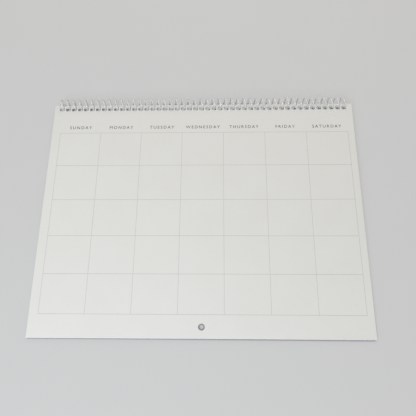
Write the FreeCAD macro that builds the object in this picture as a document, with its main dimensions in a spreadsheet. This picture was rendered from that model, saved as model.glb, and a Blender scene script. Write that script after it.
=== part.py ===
import FreeCAD, Part
import math
import os
import Sketcher

# Wall calendar, 12 by 9 inches, bound along its top edge with a clear plastic coil.
# It lies as it does on a table: month grid up, the coil's lowest arcs and the far edge on the table.
# X runs along the bound edge, +Y points towards the coil, +Z up. Millimetres.
# The origin is on the table, in the middle of the part's bounding box.

Vector = FreeCAD.Vector

# Driving dimensions: name, value, what it measures.
SIZES = [
    ("page_width", 304.8, "along the bound edge, 12 in"),
    ("page_height", 228.6, "from the bound edge to the free edge, 9 in"),
    ("leaf_thickness", 0.25, "one leaf of heavy paper"),
    ("pages_thickness", 2.0, "all the leaves under the top one"),
    ("cover_thickness", 0.5, "card at the back"),
    ("hole_pitch", 6.2865, "between binding holes, 0.2475 in, four to the inch"),
    ("hole_width", 5.0, "binding hole along the edge"),
    ("hole_height", 4.4, "binding hole across the edge"),
    ("hole_corner", 1.6, "radius of a binding hole's corners"),
    ("hole_inset", 4.3, "from the bound edge to the middle of the holes"),
    ("row_margin", 7.4, "from the left edge to the middle of the first hole"),
    ("hang_diameter", 6.35, "hole that the calendar hangs by, 1/4 in"),
    ("hang_inset", 9.6, "from the free edge to the middle of the hanging hole"),
    ("hang_offset", 1.8, "hanging hole right of the middle of the page, as it was punched"),
    ("coil_diameter", 12.0, "outside of the coil, top to bottom"),
    ("strand_diameter", 1.4, "plastic strand"),
    ("coil_end_angle", 45.0, "where each end leaves its ring, in degrees below the far side"),
    ("bend_radius", 1.5, "crimped bend at each end, to the middle of the strand"),
    ("tail_length", 2.2, "straight tail after the bend"),
    ("hole_play", 0.45, "strand to the middle of the holes, across the edge"),
    ("strand_offset", 1.49, "strand right of the middle of the holes, with the leaf closed"),
    ("stack_drop", 0.45, "middle of the leaves below the coil's axis"),
    ("grid_left", 8.3, "from the left edge to the month grid"),
    ("grid_right", 6.1, "from the right edge to the month grid"),
    ("grid_top", 31.4, "from the bound edge to the month grid"),
    ("grid_bottom", 19.6, "from the free edge to the month grid"),
    ("grid_columns", 7, "days in a week"),
    ("grid_rows", 5, "weeks on the page"),
    ("line_width", 0.35, "printed line"),
    ("ink_thickness", 0.04, "printed line above the paper"),
]


def make_sheet(doc):
    """Put the driving dimensions in a spreadsheet, each with its alias."""
    sheet = doc.addObject("Spreadsheet::Sheet", "sizes")
    for row, (name, value, meaning) in enumerate(SIZES, start=1):
        sheet.set(f"A{row}", name)
        sheet.set(f"B{row}", str(value))
        sheet.set(f"C{row}", meaning)
        sheet.setAlias(f"B{row}", name)
    doc.recompute()
    return sheet


def new_body(doc, label):
    """An empty body with this label."""
    body = doc.addObject("PartDesign::Body", label)
    body.Label = label
    return body


def new_sketch(body, name):
    """A sketch on the body's XY plane."""
    sketch = body.newObject("Sketcher::SketchObject", name)
    planes = {feature.Role: feature for feature in body.Origin.OriginFeatures}
    sketch.AttachmentSupport = [(planes["XY_Plane"], "")]
    sketch.MapMode = "FlatFace"
    return sketch


def bind(sketch, kind, points, expression):
    """Add a dimension to the sketch and tie it to an expression in the spreadsheet."""
    value = float(sketch.evalExpression(expression))
    index = sketch.addConstraint(Sketcher.Constraint(kind, *points, value))
    sketch.setExpression(f"Constraints[{index}]", expression)


def draw_rectangle(sketch, left, below, width, height):
    """Rectangle: its top left corner is left of and below the sketch's origin by these expressions."""
    x = -float(sketch.evalExpression(left))
    y = -float(sketch.evalExpression(below))
    w = float(sketch.evalExpression(width))
    h = float(sketch.evalExpression(height))
    corners = [Vector(x, y), Vector(x + w, y), Vector(x + w, y - h), Vector(x, y - h)]
    lines = [Part.LineSegment(corners[i], corners[(i + 1) % 4]) for i in range(4)]
    top, right, bottom, side = sketch.addGeometry(lines, False)
    for a, b in [(top, right), (right, bottom), (bottom, side), (side, top)]:
        sketch.addConstraint(Sketcher.Constraint("Coincident", a, 2, b, 1))
    for line in (top, bottom):
        sketch.addConstraint(Sketcher.Constraint("Horizontal", line))
    for line in (right, side):
        sketch.addConstraint(Sketcher.Constraint("Vertical", line))
    bind(sketch, "DistanceX", (top, 1, top, 2), width)
    bind(sketch, "DistanceY", (bottom, 2, top, 1), height)
    bind(sketch, "DistanceX", (top, 1, -1, 1), left)
    bind(sketch, "DistanceY", (top, 1, -1, 1), below)


def draw_binding_hole(sketch, size):
    """First binding hole: a rectangle with round corners."""
    w = size("hole_width")
    h = size("hole_height")
    r = size("hole_corner")
    x = -size("page_width") / 2 + size("row_margin") - w / 2
    y = -size("hole_inset") - h / 2
    up = Vector(0, 0, 1)
    corners = [
        (x + w - r, y + h - r, 0),
        (x + r, y + h - r, 90),
        (x + r, y + r, 180),
        (x + w - r, y + r, 270),
    ]
    arcs = []
    for cx, cy, start in corners:
        circle = Part.Circle(Vector(cx, cy), up, r)
        arc = Part.ArcOfCircle(circle, math.radians(start), math.radians(start + 90))
        arcs.append(sketch.addGeometry(arc, False))
    lines = []
    for first, second in [(0, 1), (1, 2), (2, 3), (3, 0)]:
        start = sketch.Geometry[arcs[first]].EndPoint
        end = sketch.Geometry[arcs[second]].StartPoint
        line = sketch.addGeometry(Part.LineSegment(start, end), False)
        sketch.addConstraint(Sketcher.Constraint("Tangent", arcs[first], 2, line, 1))
        sketch.addConstraint(Sketcher.Constraint("Tangent", line, 2, arcs[second], 1))
        lines.append(line)
    top, left, bottom, right = lines
    for line in (top, bottom):
        sketch.addConstraint(Sketcher.Constraint("Horizontal", line))
    for line in (left, right):
        sketch.addConstraint(Sketcher.Constraint("Vertical", line))
    for arc in arcs[1:]:
        sketch.addConstraint(Sketcher.Constraint("Equal", arcs[0], arc))
    bind(sketch, "Radius", (arcs[0],), "sizes.hole_corner")
    bind(sketch, "DistanceX", (left, 1, right, 1), "sizes.hole_width")
    bind(sketch, "DistanceY", (bottom, 1, top, 1), "sizes.hole_height")
    bind(sketch, "DistanceX", (left, 1, -1, 1), "sizes.page_width / 2 - sizes.row_margin + sizes.hole_width / 2")
    bind(sketch, "DistanceY", (top, 1, -1, 1), "sizes.hole_inset - sizes.hole_height / 2")


def cut_through(body, sketch, name):
    """Cut the sketch right through a body that stands on the sketch's plane."""
    pocket = body.newObject("PartDesign::Pocket", name)
    pocket.Profile = sketch
    pocket.Type = "ThroughAll"
    pocket.Reversed = True
    return pocket


def make_punched_sheet(doc, label, thickness, size):
    """Flat sheet with the row of binding holes and the hanging hole.

    The middle of its bound edge is the body's origin and it reaches to -Y.
    """
    body = new_body(doc, label)
    outline = new_sketch(body, f"{label}_outline")
    draw_rectangle(outline, "sizes.page_width / 2", "0", "sizes.page_width", "sizes.page_height")
    pad = body.newObject("PartDesign::Pad", f"{label}_pad")
    pad.Profile = outline
    pad.setExpression("Length", f"sizes.{thickness}")

    hang = new_sketch(body, f"{label}_hang")
    centre = Vector(size("hang_offset"), size("hang_inset") - size("page_height"))
    circle = hang.addGeometry(Part.Circle(centre, Vector(0, 0, 1), size("hang_diameter") / 2), False)
    bind(hang, "Diameter", (circle,), "sizes.hang_diameter")
    bind(hang, "DistanceX", (-1, 1, circle, 3), "sizes.hang_offset")
    bind(hang, "DistanceY", (circle, 3, -1, 1), "sizes.page_height - sizes.hang_inset")
    cut_through(body, hang, f"{label}_hang_hole")

    slot = new_sketch(body, f"{label}_slot")
    draw_binding_hole(slot, size)
    hole = cut_through(body, slot, f"{label}_binding_hole")
    row = body.newObject("PartDesign::LinearPattern", f"{label}_row")
    row.Originals = [hole]
    row.Direction = (slot, ["H_Axis"])
    row.Mode = "Spacing"
    row.setExpression("Offset", "sizes.hole_pitch")
    row.Occurrences = hole_count(size)
    body.Tip = row
    return body


def make_printed_grid(doc, size):
    """Ink lines of the month grid, as one thin lattice on the top leaf."""
    body = new_body(doc, "printed_grid")
    width = "sizes.page_width - sizes.grid_left - sizes.grid_right"
    height = "sizes.page_height - sizes.grid_top - sizes.grid_bottom"
    column = f"({width} - sizes.line_width) / sizes.grid_columns"
    row = f"({height} - sizes.line_width) / sizes.grid_rows"
    outline = new_sketch(body, "grid_outline")
    draw_rectangle(outline, "sizes.page_width / 2 - sizes.grid_left", "sizes.grid_top", width, height)
    pad = body.newObject("PartDesign::Pad", "grid_pad")
    pad.Profile = outline
    pad.setExpression("Length", "sizes.ink_thickness")

    cell = new_sketch(body, "grid_cell")
    left = "sizes.page_width / 2 - sizes.grid_left - sizes.line_width"
    top = "sizes.grid_top + sizes.line_width"
    draw_rectangle(cell, left, top, f"{column} - sizes.line_width", f"{row} - sizes.line_width")
    day = cut_through(body, cell, "grid_day")
    month = body.newObject("PartDesign::MultiTransform", "grid_month")
    month.Originals = [day]
    days = body.newObject("PartDesign::LinearPattern", "grid_days")
    days.Direction = (cell, ["H_Axis"])
    days.Mode = "Spacing"
    days.setExpression("Offset", column)
    days.Occurrences = round(size("grid_columns"))
    weeks = body.newObject("PartDesign::LinearPattern", "grid_weeks")
    weeks.Direction = (cell, ["V_Axis"])
    weeks.Reversed = True
    weeks.Mode = "Spacing"
    weeks.setExpression("Offset", row)
    weeks.Occurrences = round(size("grid_rows"))
    month.Transformations = [days, weeks]
    body.Tip = month
    return body


def hole_count(size):
    """As many holes as fit between the two margins, the right one no narrower than the left."""
    return math.floor((size("page_width") - 2 * size("row_margin")) / size("hole_pitch")) + 1


def strand_radius(size):
    """Radius of each half ring, to the middle of the strand."""
    return (size("coil_diameter") - size("strand_diameter")) / 2


def strand_reach(size):
    """From the coil's axis to the strand at the holes: each half ring leans by a quarter pitch."""
    return math.sqrt(strand_radius(size) ** 2 - (size("hole_pitch") / 4) ** 2)


def edge_offset(size):
    """How far the bound edge stays back from the coil's axis."""
    return strand_reach(size) + size("hole_play") - size("hole_inset")


def ring_point(size, x, side, angle):
    """Point of a half ring that starts at the hole at x and ends on the far side half a pitch on.

    Side is 1 for a ring over the leaves and -1 for one under them; the angle runs from 180 degrees
    at the hole to 0 on the far side.
    """
    lean = side * -size("hole_pitch") / 4
    turn = math.radians(angle)
    across = math.cos(turn)
    rise = side * strand_radius(size) * math.sin(turn)
    return Vector(x + lean * (1 + across), strand_reach(size) * across, rise)


def ring_arc(size, x, side, start, end):
    """Arc of a half ring between two angles."""
    angles = (start, (start + end) / 2, end)
    return Part.Arc(*[ring_point(size, x, side, angle) for angle in angles]).toShape()


def crimped_end(size, edge, at_start, along):
    """Bend and straight tail that carry a strand's end on until it runs along the coil."""
    first, last = edge.ParameterRange
    parameter = first if at_start else last
    point = edge.valueAt(parameter)
    heading = edge.tangentAt(parameter)
    if at_start:
        heading = -heading
    radius = size("bend_radius")
    inward = (along - heading * heading.dot(along)).normalize()
    outward = (heading - along * heading.dot(along)).normalize()
    centre = point + inward * radius
    bend_end = centre + outward * radius
    middle = centre + (outward - inward).normalize() * radius
    bend = Part.Arc(point, middle, bend_end).toShape()
    tail = Part.LineSegment(bend_end, bend_end + along * size("tail_length")).toShape()
    return bend, tail


def make_coil(doc, size):
    """One plastic strand wound through every hole, with both ends crimped inwards.

    Its axis is the X axis. Over the leaves each half ring runs from a hole back and to the left;
    under them it returns further left, so that the strand meets every half ring in line.
    """
    count = hole_count(size)
    first_hole = -size("page_width") / 2 + size("row_margin") + size("strand_offset")
    holes = [first_hole + k * size("hole_pitch") for k in range(count)]
    end = size("coil_end_angle")
    edges = [ring_arc(size, holes[0] - size("hole_pitch"), -1, end, 0)]
    for x in holes:
        edges.append(ring_arc(size, x, 1, 0, 180))
        edges.append(ring_arc(size, x, -1, 180, 0))
    edges[-1] = ring_arc(size, holes[-1], -1, 180, end)
    left_bend, left_tail = crimped_end(size, edges[0], True, Vector(1, 0, 0))
    right_bend, right_tail = crimped_end(size, edges[-1], False, Vector(-1, 0, 0))
    path = Part.Wire(Part.__sortEdges__([left_tail, left_bend, *edges, right_bend, right_tail]))
    start = left_tail.Vertexes[-1].Point
    section = Part.Face(Part.Wire([Part.makeCircle(size("strand_diameter") / 2, start, Vector(1, 0, 0))]))
    coil = doc.addObject("Part::Feature", "coil")
    coil.Label = "coil"
    coil.Shape = path.makePipe(section)
    return coil, path.Length


def resting_placement(size):
    """From the coil's axis frame to the table: the bound edge is held up by the coil."""
    depth = size("leaf_thickness") + size("pages_thickness") + size("cover_thickness")
    below = size("stack_drop") + depth / 2
    above = depth / 2 - size("stack_drop")
    reach = edge_offset(size) + size("page_height")
    lift = size("coil_diameter") / 2
    tilt = math.asin(lift / math.hypot(reach, below)) - math.atan(below / reach)
    near = -reach * math.cos(tilt) - above * math.sin(tilt)
    far = strand_reach(size) + size("strand_diameter") / 2
    turn = FreeCAD.Rotation(Vector(1, 0, 0), math.degrees(tilt))
    return FreeCAD.Placement(Vector(0, -(near + far) / 2, lift), turn)


def check(doc, pieces):
    """Stop if any object failed or any piece is empty or invalid."""
    failed = [o.Name for o in doc.Objects if {"Invalid", "Error"} & set(o.State)]
    if failed:
        raise RuntimeError(f"failed objects: {failed}")
    for piece in pieces:
        if piece.Shape.isNull() or not piece.Shape.isValid():
            raise RuntimeError(f"bad shape: {piece.Label}")


def main():
    doc = FreeCAD.newDocument("wall_calendar")
    sheet = make_sheet(doc)

    def size(name):
        return float(sheet.get(name))

    leaf = make_punched_sheet(doc, "month_leaf", "leaf_thickness", size)
    pages = make_punched_sheet(doc, "page_block", "pages_thickness", size)
    cover = make_punched_sheet(doc, "back_cover", "cover_thickness", size)
    grid = make_printed_grid(doc, size)
    coil, strand_length = make_coil(doc, size)
    doc.recompute()

    # The sheets lie on each other, the cover lowest and the ink on top.
    rest = resting_placement(size)
    depth = size("leaf_thickness") + size("pages_thickness") + size("cover_thickness")
    height = -size("stack_drop") - depth / 2
    layers = [
        (cover, size("cover_thickness")),
        (pages, size("pages_thickness")),
        (leaf, size("leaf_thickness")),
        (grid, size("ink_thickness")),
    ]
    for body, thickness in layers:
        body.Placement = rest * FreeCAD.Placement(Vector(0, -edge_offset(size), height), FreeCAD.Rotation())
        height += thickness
    coil.Placement = rest
    doc.recompute()

    pieces = [leaf, pages, cover, grid, coil]
    check(doc, pieces)
    os.makedirs("parts", exist_ok=True)
    for piece in pieces:
        piece.Shape.exportStep(f"parts/{piece.Label}.step")
        box = piece.Shape.BoundBox
        print(f"{piece.Label:14} {piece.Shape.Volume:10.2f} mm3  {len(piece.Shape.Solids)} solid ", box)
    section = math.pi * size("strand_diameter") ** 2 / 4
    print("coil section times length", round(section * strand_length, 2), "holes", hole_count(size))
    print("axis height", rest.Base.z, "axis y", rest.Base.y, "tilt", math.degrees(rest.Rotation.Angle))


main()
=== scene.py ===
# %% [markdown]
# # A coil-bound wall calendar
# The calendar lies flat on a pale table with its blank month grid up. It is a stack of punched
# paper leaves on a card cover, held along one edge by a clear plastic coil, and it hangs from a
# round hole in the free edge. The solids come from the CAD model, and this script gives them
# their paper, card, ink and plastic, adds the printed weekday names and the separate lower
# leaves, and sets up the light and the camera.

# %% Load the frame and keep the size of the CAD model
import math
import bpy
from mathutils import Matrix, Vector


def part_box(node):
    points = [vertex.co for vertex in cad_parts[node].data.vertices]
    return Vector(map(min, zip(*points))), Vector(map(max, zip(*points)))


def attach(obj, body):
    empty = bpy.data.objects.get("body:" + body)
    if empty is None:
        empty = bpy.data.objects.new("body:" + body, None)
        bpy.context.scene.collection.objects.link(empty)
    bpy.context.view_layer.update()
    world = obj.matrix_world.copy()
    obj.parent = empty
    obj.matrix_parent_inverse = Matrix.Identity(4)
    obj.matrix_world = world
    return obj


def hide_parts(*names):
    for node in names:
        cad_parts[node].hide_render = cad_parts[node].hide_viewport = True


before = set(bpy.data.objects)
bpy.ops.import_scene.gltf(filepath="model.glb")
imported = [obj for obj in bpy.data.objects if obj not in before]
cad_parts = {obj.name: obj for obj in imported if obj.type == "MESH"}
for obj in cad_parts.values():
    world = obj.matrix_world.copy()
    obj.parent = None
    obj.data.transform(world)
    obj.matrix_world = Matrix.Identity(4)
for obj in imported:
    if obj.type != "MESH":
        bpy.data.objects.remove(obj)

scene = bpy.context.scene
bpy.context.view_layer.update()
mm = 0.001
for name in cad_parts:
    low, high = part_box(name)
    print(name, "is", [round(side / mm, 2) for side in high - low], "mm")

# %% [markdown]
# ## How the leaves lie
# The coil is rounder than the stack is thick, so it holds the bound edge up, and the leaves lean
# by about one degree. The print has to lean with them. The lean could be typed in, but it is
# safer to read it from the top leaf itself: its upward flat face has a normal, and the highest
# corners of the leaf lie on its bound edge.

# %% Read the plane of the top leaf
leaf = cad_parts["month_leaf"]
facing_up = 0.9
upward_faces = [face for face in leaf.data.polygons if face.normal.z > facing_up]
upward = max(upward_faces, key=lambda face: face.area)
leaf_normal = upward.normal.normalized()
lean = math.atan2(-leaf_normal.y, leaf_normal.z)
top_corner = max((v.co for v in leaf.data.vertices), key=lambda co: co.z)
down_page = Vector((0, -math.cos(lean), -math.sin(lean)))


def on_leaf(across, down, above=0.0):
    """A point of the page: across from its middle, down from its bound edge, above its face."""
    edge = Vector((0, top_corner.y, top_corner.z))
    return edge + Vector((across, 0, 0)) + down_page * down + leaf_normal * above


print("the leaves lean by", round(math.degrees(lean), 3), "degrees")


# %% [markdown]
# ## Helpers for the finishes
# Colours are written as on a paint chart, in sRGB hex, and Blender's sockets want linear values,
# so one function turns them. Another adds a node with its settings and its links in one line,
# which keeps each material short enough to read as a recipe.

# %% Colour and node helpers
def linear(hex_colour):
    """Linear RGBA from an sRGB hex colour."""
    parts = [int(hex_colour[i:i + 2], 16) / 255 for i in (1, 3, 5)]
    return (*[c / 12.92 if c <= 0.04045 else ((c + 0.055) / 1.055) ** 2.4 for c in parts], 1)


def add_node(tree, kind, inputs=None, **settings):
    """A node of this kind. Inputs are values, or the sockets that feed them."""
    node = tree.nodes.new(kind)
    for name, value in settings.items():
        setattr(node, name, value)
    for name, value in (inputs or {}).items():
        if isinstance(value, bpy.types.NodeSocket):
            tree.links.new(value, node.inputs[name])
        else:
            node.inputs[name].default_value = value
    return node


def new_material(name):
    """An empty node material and its tree."""
    material = bpy.data.materials.new(name)
    material.use_nodes = True
    material.node_tree.nodes.clear()
    return material, material.node_tree


def dress(node_name, material):
    """Puts a material on a CAD node."""
    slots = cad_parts[node_name].data.materials
    slots.clear()
    slots.append(material)
    print(node_name, "has", material.name)


# %% [markdown]
# ## Uncoated paper
# The leaves are uncoated offset paper. Up close its surface is matted fibre, so it has a fine
# tooth and scatters light evenly, with no gloss. Its white isn't quite even: the sheet's density
# varies in soft clouds a few centimetres wide, which paper makers call formation, and stray
# fibres show as faint hairs. A sheet on a stack also never lies perfectly flat, and its long
# shallow waves are what gives the page its broad lighter and darker parts. All of that is built
# from noise whose scales come from real sizes.

# %% Make the paper
def paper(name, base, shade, fleck, wave_mm):
    """Uncoated offset paper: matt, clouded and fibrous, in waves of this many millimetres."""
    material, tree = new_material(name)
    place = add_node(tree, "ShaderNodeTexCoord").outputs["Object"]
    # formation
    cloud_width = 35 * mm
    clouds = add_node(tree, "ShaderNodeTexNoise", {
        "Vector": place, "Scale": 1 / cloud_width, "Detail": 4.0, "Roughness": 0.6})
    clouded = add_node(tree, "ShaderNodeMix", {
        "Factor": clouds.outputs["Fac"], "A": linear(base), "B": linear(shade)}, data_type="RGBA")
    # fibres: patches stretched about eight times, of which only the peaks show as hairs, drawn
    # coarser than real ones
    fibre_patch = 0.5 * mm
    fibre_squeeze = 0.12
    stretched = add_node(tree, "ShaderNodeMapping", {
        "Vector": place, "Rotation": (0, 0, 0.5), "Scale": (1, fibre_squeeze, 1)})
    fibres = add_node(tree, "ShaderNodeTexNoise", {
        "Vector": stretched.outputs["Vector"], "Scale": 1 / fibre_patch, "Detail": 2.0,
        "Distortion": 1.5})
    hairs = add_node(tree, "ShaderNodeMapRange", {
        "Value": fibres.outputs["Fac"], "From Min": 0.64, "From Max": 0.8, "To Min": 0.0, "To Max": 0.5})
    fibrous = add_node(tree, "ShaderNodeMix", {
        "Factor": hairs.outputs["Result"], "A": clouded.outputs["Result"], "B": linear(fleck)},
        data_type="RGBA")
    # tooth: a grain drawn coarser than the real one, so that a close view shows it
    tooth_grain = 0.4 * mm
    tooth_height = 0.05 * mm
    wave_height = 3 * mm
    tooth = add_node(tree, "ShaderNodeTexNoise", {
        "Vector": place, "Scale": 1 / tooth_grain, "Detail": 3.0})
    wave = add_node(tree, "ShaderNodeTexNoise", {
        "Vector": place, "Scale": 1 / (wave_mm * mm), "Detail": 0.5})
    wavy = add_node(tree, "ShaderNodeBump", {
        "Height": wave.outputs["Fac"], "Strength": 1.0, "Distance": wave_height})
    toothed = add_node(tree, "ShaderNodeBump", {
        "Height": tooth.outputs["Fac"], "Normal": wavy.outputs["Normal"],
        "Strength": 0.25, "Distance": tooth_height})
    rough = add_node(tree, "ShaderNodeMapRange", {
        "Value": tooth.outputs["Fac"], "To Min": 0.7, "To Max": 0.95})
    shader = add_node(tree, "ShaderNodeBsdfPrincipled", {
        "Base Color": fibrous.outputs["Result"], "Roughness": rough.outputs["Result"],
        "Normal": toothed.outputs["Normal"], "IOR": 1.45, "Specular IOR Level": 0.25})
    add_node(tree, "ShaderNodeOutputMaterial", {"Surface": shader.outputs["BSDF"]})
    return material


top_paper = paper("uncoated_offset_paper", "#E6E5E2", "#E1DFDB", "#CFCAC0", 160)
# painted light: the lower leaves are the same paper as the top leaf, painted lighter and cooler so that
# their strips at the stack's edges show as a bright line
lower_paper_painted_lighter = paper("uncoated_offset_paper_lower", "#ECEBEF", "#E6E5E8", "#CFCBC6", 190)
dress("month_leaf", top_paper)

# %% [markdown]
# ## Cover card
# The back of the calendar is a thick cream card. It is pressed board, so it is smoother than the
# paper, warmer in colour and speckled with short darker fibres.

# %% Make the cover card
cover_card, tree = new_material("cream_card")
place = add_node(tree, "ShaderNodeTexCoord").outputs["Object"]
card_cloud = 22 * mm
clouds = add_node(tree, "ShaderNodeTexNoise", {
    "Vector": place, "Scale": 1 / card_cloud, "Detail": 5.0, "Roughness": 0.65})
clouded = add_node(tree, "ShaderNodeMix", {
    "Factor": clouds.outputs["Fac"], "A": linear("#DCD7CB"), "B": linear("#D3CDBF")},
    data_type="RGBA")
# chopped fibres: specks whose pattern a slower one pulls out of shape
fibre_patch = 0.9 * mm
pull_width = 6 * mm
pull = 2 * mm
press_height = 0.05 * mm
turned = add_node(tree, "ShaderNodeTexNoise", {"Vector": place, "Scale": 1 / pull_width})
bent = add_node(tree, "ShaderNodeVectorMath", {
    0: turned.outputs["Color"], 1: (pull, pull, pull)}, operation="MULTIPLY")
moved = add_node(tree, "ShaderNodeVectorMath", {0: place, 1: bent.outputs["Vector"]}, operation="ADD")
chopped = add_node(tree, "ShaderNodeTexNoise", {
    "Vector": moved.outputs["Vector"], "Scale": 1 / fibre_patch, "Detail": 2.0})
specks = add_node(tree, "ShaderNodeMapRange", {
    "Value": chopped.outputs["Fac"], "From Min": 0.62, "From Max": 0.75, "To Min": 0.0, "To Max": 0.6})
speckled = add_node(tree, "ShaderNodeMix", {
    "Factor": specks.outputs["Result"], "A": clouded.outputs["Result"], "B": linear("#B9AF9A")},
    data_type="RGBA")
pressed = add_node(tree, "ShaderNodeBump", {
    "Height": chopped.outputs["Fac"], "Strength": 0.2, "Distance": press_height})
shader = add_node(tree, "ShaderNodeBsdfPrincipled", {
    "Base Color": speckled.outputs["Result"], "Roughness": 0.62, "Normal": pressed.outputs["Normal"],
    "IOR": 1.45, "Specular IOR Level": 0.3})
add_node(tree, "ShaderNodeOutputMaterial", {"Surface": shader.outputs["BSDF"]})
dress("back_cover", cover_card)

# %% [markdown]
# ## Printed ink
# The grid is printed in a very light grey and the weekday names in a darker one. Ink on uncoated
# paper sinks in, so it stays matt, and its density breaks up a little over the fibres.

# %% Make the two inks
def ink(name, full, thin):
    """Offset ink on uncoated paper: matt, and thinner where the fibres stand up."""
    material, tree = new_material(name)
    place = add_node(tree, "ShaderNodeTexCoord").outputs["Object"]
    # the paper's grain
    grain_width = 0.3 * mm
    grain = add_node(tree, "ShaderNodeTexNoise", {
        "Vector": place, "Scale": 1 / grain_width, "Detail": 3.0})
    broken = add_node(tree, "ShaderNodeMix", {
        "Factor": grain.outputs["Fac"], "A": linear(full), "B": linear(thin)}, data_type="RGBA")
    shader = add_node(tree, "ShaderNodeBsdfPrincipled", {
        "Base Color": broken.outputs["Result"], "Roughness": 0.8, "IOR": 1.45,
        "Specular IOR Level": 0.2})
    add_node(tree, "ShaderNodeOutputMaterial", {"Surface": shader.outputs["BSDF"]})
    return material


grid_ink = ink("pale_grey_offset_ink", "#C0BFBD", "#CDCCC9")
word_ink = ink("grey_offset_ink", "#4E4E4E", "#646464")
dress("printed_grid", grid_ink)

# %% [markdown]
# ## Milky coil plastic
# The coil is drawn from soft PVC without colour and wound hot. A thin strand of it looks milky
# rather than clear like glass: it takes the light in and glows a little, it shows what is behind
# it only dimly, and its glossy skin has sharp highlights along the strand. So the shader is part
# glass and part white, with a smooth surface that a few handling marks roughen.

# %% Make the milky PVC
milky_pvc, tree = new_material("milky_pvc")
place = add_node(tree, "ShaderNodeTexCoord").outputs["Object"]
# drawing and handling marks
mark_length = 3 * mm
marks = add_node(tree, "ShaderNodeTexNoise", {
    "Vector": place, "Scale": 1 / mark_length, "Detail": 3.0})
skin = add_node(tree, "ShaderNodeMapRange", {
    "Value": marks.outputs["Fac"], "From Min": 0.3, "From Max": 0.7, "To Min": 0.08, "To Max": 0.22})
milk = add_node(tree, "ShaderNodeMix", {
    "Factor": marks.outputs["Fac"], "A": linear("#FDFDFC"), "B": linear("#F1F1F1")}, data_type="RGBA")
shader = add_node(tree, "ShaderNodeBsdfPrincipled", {
    "Base Color": milk.outputs["Result"], "Roughness": skin.outputs["Result"], "IOR": 1.53,
    "Transmission Weight": 0.35})
add_node(tree, "ShaderNodeOutputMaterial", {"Surface": shader.outputs["BSDF"]})
dress("coil", milky_pvc)

# %% [markdown]
# ## The lower leaves
# Under the top leaf lie the other eleven months. The CAD model has them as one block, which is
# enough for its size and weight, but at the edges the real stack shows its separate sheets. Each
# sheet has the top leaf's outline and holes, so the top leaf's mesh is the pattern for them. Its
# triangles are loose, so they are merged first, and the pattern is thinned along its normal.

# %% Make the pattern of a lower leaf
lower_leaves = 11
weld_distance = 0.001 * mm
# a sheet fills this share of its layer, so that a thin gap parts it from the next one
sheet_share = 0.9


def layer_height(name):
    """How far above the world's origin a node's lowest face lies, along the leaves' normal."""
    return min(v.co.dot(leaf_normal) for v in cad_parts[name].data.vertices)


pages_top = layer_height("month_leaf")
leaf_thickness = max(v.co.dot(leaf_normal) for v in leaf.data.vertices) - pages_top
pitch = (pages_top - layer_height("page_block")) / lower_leaves
bpy.ops.object.select_all(action="DESELECT")
pattern = bpy.data.objects.new("punched_blank", leaf.data.copy())
scene.collection.objects.link(pattern)
bpy.context.view_layer.objects.active = pattern
pattern.select_set(True)
bpy.ops.object.mode_set(mode="EDIT")
bpy.ops.mesh.select_all(action="SELECT")
bpy.ops.mesh.remove_doubles(threshold=weld_distance)
bpy.ops.object.mode_set(mode="OBJECT")
pattern.data.transform(Matrix.Scale(sheet_share * pitch / leaf_thickness, 4, leaf_normal))
pattern.data.materials.clear()
pattern.data.materials.append(lower_paper_painted_lighter)
pattern_bottom = min(v.co.dot(leaf_normal) for v in pattern.data.vertices)
print("the pattern has", len(pattern.data.polygons), "triangles")
print("the leaves lie", round(pitch / mm, 3), "mm apart")

# %% [markdown]
# ## Lay the leaves in the stack
# No stack is jogged perfectly. Each copy goes down to its layer, slips towards the free edge by
# 0.55 mm at most, and turns by up to a tenth of a degree about the middle of the bound edge. Two
# sine waves spread the slips and turns, so that the stack looks the same each time it is made.

# %% Copy the pattern eleven times
mean_slip = 0.35
slip_swing = 0.2
slip_step = 1.7
turn_swing = 0.07
turn_step = 1.1
turn_start = 0.6
turn_drift = 0.004
hinge = Matrix.Translation(on_leaf(0, 0))
for index in range(lower_leaves):
    sheet = bpy.data.objects.new(f"lower_leaf_{index + 2:02d}", pattern.data.copy())
    scene.collection.objects.link(sheet)
    drop = leaf_normal * (pages_top - (index + 1) * pitch - pattern_bottom)
    slip = down_page * (mean_slip + slip_swing * math.sin(index * slip_step)) * mm
    degrees = turn_swing * math.sin(index * turn_step + turn_start) - turn_drift * index
    turn = hinge @ Matrix.Rotation(math.radians(degrees), 4, "Z") @ hinge.inverted()
    sheet.data.transform(Matrix.Translation(drop + slip) @ turn)
    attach(sheet, "binding")
    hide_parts("page_block")
bpy.data.objects.remove(pattern)
print(lower_leaves, "lower leaves laid")

# %% [markdown]
# ## The weekday names
# The names stand over their columns in small spaced capitals. Modelled text is sharper than any
# picture of it. Each name is set as text at its size, given a film of thickness so that it has
# real faces, made a mesh, and only then applied to its place on the leaning page.

# %% Set the weekday names
names = ["SUNDAY", "MONDAY", "TUESDAY", "WEDNESDAY", "THURSDAY", "FRIDAY", "SATURDAY"]
widths_mm = [22.4, 24.0, 24.7, 34.4, 29.2, 19.3, 28.8]
cap_height = 3.3 * mm
words_down = 25.6 * mm
ink_film = 0.02 * mm
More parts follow.
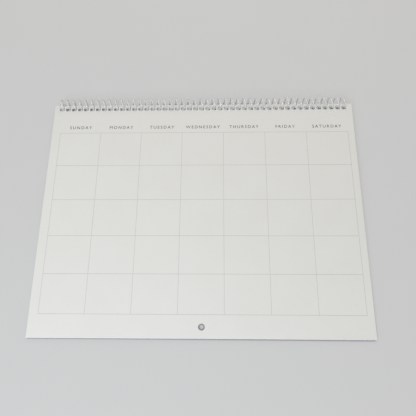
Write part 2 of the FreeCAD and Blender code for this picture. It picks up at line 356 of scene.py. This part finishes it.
# a capital is this much of the typeface's size
capital_share = 0.729
wide_spacing = 1.5
grid_low, grid_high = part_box("printed_grid")
column = (grid_high.x - grid_low.x) / len(names)
for index, (name, width) in enumerate(zip(names, widths_mm)):
    middle = grid_low.x + column * (index + 0.5)
    bpy.ops.object.select_all(action="DESELECT")
    place = on_leaf(middle, words_down, ink_film)
    bpy.ops.object.text_add(location=place, rotation=(lean, 0, 0))
    word = bpy.context.object
    word.name = "weekday_" + name.lower()
    word.data.body = name
    word.data.align_y = "CENTER"
    word.data.size = cap_height / capital_share
    word.data.extrude = ink_film
    word.data.resolution_u = 4
    # the letter spacing that gives this name its width
    bpy.context.view_layer.update()
    narrow = word.dimensions.x
    word.data.space_character = wide_spacing
    bpy.context.view_layer.update()
    wide = word.dimensions.x
    word.data.space_character = 1 + (wide_spacing - 1) * (width * mm - narrow) / (wide - narrow)
    spacing = round(word.data.space_character, 3)
    bpy.ops.object.convert(target="MESH")
    bpy.ops.object.transform_apply(location=True, rotation=True, scale=True)
    # centre the letters over the column
    across = [v.co.x for v in word.data.vertices]
    bpy.ops.object.mode_set(mode="EDIT")
    bpy.ops.mesh.select_all(action="SELECT")
    bpy.ops.transform.translate(value=(middle - (min(across) + max(across)) / 2, 0, 0))
    bpy.ops.object.mode_set(mode="OBJECT")
    word.data.materials.clear()
    word.data.materials.append(word_ink)
    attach(word, "leaf")
    print(name, "stands", round(middle / mm, 1), "mm from the middle, letter spacing", spacing)

# %% [markdown]
# ## The table
# The calendar lies on a plain pale grey table. The table should look the same grey all over, so
# part of its tone is shown to the camera directly, and the rest is lit and keeps the shadow. Right
# beside the stack hardly any light gets in. An ambient occlusion node finds those last two
# millimetres and paints a dark grey shade into the table's colour there, which seats the calendar
# on the table.

# %% Make the table
table_side = 30
mottle_width = 60 * mm
nook_reach = 2.3 * mm
shown_share = 0.6
bpy.ops.object.select_all(action="DESELECT")
bpy.ops.mesh.primitive_plane_add(size=table_side, location=(0, 0, 0))
table = bpy.context.object
table.name = "table"
table_paint, tree = new_material("pale_grey_table")
place = add_node(tree, "ShaderNodeTexCoord").outputs["Object"]
mottle = add_node(tree, "ShaderNodeTexNoise", {
    "Vector": place, "Scale": 1 / mottle_width, "Detail": 3.0})
grey = add_node(tree, "ShaderNodeMix", {
    "Factor": mottle.outputs["Fac"], "A": linear("#CFCFCF"), "B": linear("#CDCDCD")}, data_type="RGBA")
# painted shade: within the last 2.3 mm beside the stack, the table's colour turns dark grey where the
# occlusion node finds little light getting in
nook = add_node(tree, "ShaderNodeAmbientOcclusion", {"Distance": nook_reach}, samples=16)
openness = add_node(tree, "ShaderNodeMapRange", {
    "Value": nook.outputs["AO"], "From Min": 0.5, "From Max": 0.9})
table_with_painted_shade = add_node(tree, "ShaderNodeMix", {
    "Factor": openness.outputs["Result"], "A": linear("#74767B"), "B": grey.outputs["Result"]},
    data_type="RGBA")
lit = add_node(tree, "ShaderNodeBsdfPrincipled", {
    "Base Color": table_with_painted_shade.outputs["Result"], "Roughness": 0.9, "Specular IOR Level": 0.1})
shown = add_node(tree, "ShaderNodeEmission", {"Color": table_with_painted_shade.outputs["Result"], "Strength": 1.0})
path = add_node(tree, "ShaderNodeLightPath")
seen = add_node(tree, "ShaderNodeMath", {
    0: path.outputs["Is Camera Ray"], 1: path.outputs["Is Transmission Ray"]}, operation="MAXIMUM")
share = add_node(tree, "ShaderNodeMath", {
    0: seen.outputs["Value"], 1: shown_share}, operation="MULTIPLY")
even = add_node(tree, "ShaderNodeMixShader", {
    0: share.outputs["Value"], 1: lit.outputs["BSDF"], 2: shown.outputs["Emission"]})
add_node(tree, "ShaderNodeOutputMaterial", {"Surface": even.outputs["Shader"]})
table.data.materials.append(table_paint)
print("the table is", table_side, "m wide")

# %% [markdown]
# ## The light
# The light is a soft sky and two soft lamps. A cool one like a window stands at the lower left,
# where the paper is brightest, so that the thin edges in front catch it and the shadows fall up
# the page and to the right. A weaker warm one stands behind the coil. It warms the top of the
# page and puts a bright line on the strand.

# %% Make the light
def soft_lamp(name, place, size, watts, colour):
    """A square soft lamp that faces the middle of the page."""
    bpy.ops.object.light_add(type="AREA", location=place)
    lamp = bpy.context.object
    lamp.name = name
    lamp.data.size = size
    lamp.data.energy = watts
    lamp.data.color = linear(colour)[:3]
    lamp.rotation_euler = (-lamp.location).to_track_quat("-Z", "Y").to_euler()
    print(name, "gives", watts, "W")


world = bpy.data.worlds.new("soft_room")
scene.world = world
world.use_nodes = True
world.node_tree.nodes.clear()
sky = add_node(world.node_tree, "ShaderNodeBackground", {"Color": linear("#FFFEFB"), "Strength": 0.46})
add_node(world.node_tree, "ShaderNodeOutputWorld", {"Surface": sky.outputs["Background"]})
soft_lamp("window", (-0.24, -0.55, 0.55), 0.4, 3.7, "#EFF8FF")
soft_lamp("room", (0.05, 0.7, 0.5), 0.5, 2.1, "#FFF7EA")

# %% [markdown]
# ## The camera
# A small hand-held camera looks down from about 36 cm above the page, and leans by 17 degrees, so
# the near free edge looks wider than the bound one. Its place, its turn and its lens come from
# the page's edges and grid lines, whose real sizes are known.

# %% Make the camera
sensor_mm = 36
lens_mm = 33.75
camera_place = (0.01667, -0.11151, 0.35828)
camera_degrees = (17.484, 1.470, 0.395)
camera_data = bpy.data.cameras.new("camera")
camera = bpy.data.objects.new("camera", camera_data)
scene.collection.objects.link(camera)
camera_data.sensor_width = sensor_mm
camera_data.lens = lens_mm
camera.location = camera_place
camera.rotation_euler = [math.radians(angle) for angle in camera_degrees]
scene.camera = camera
scene.view_settings.view_transform = "Standard"
print("camera", [round(c, 3) for c in camera.location], "lens", camera_data.lens)
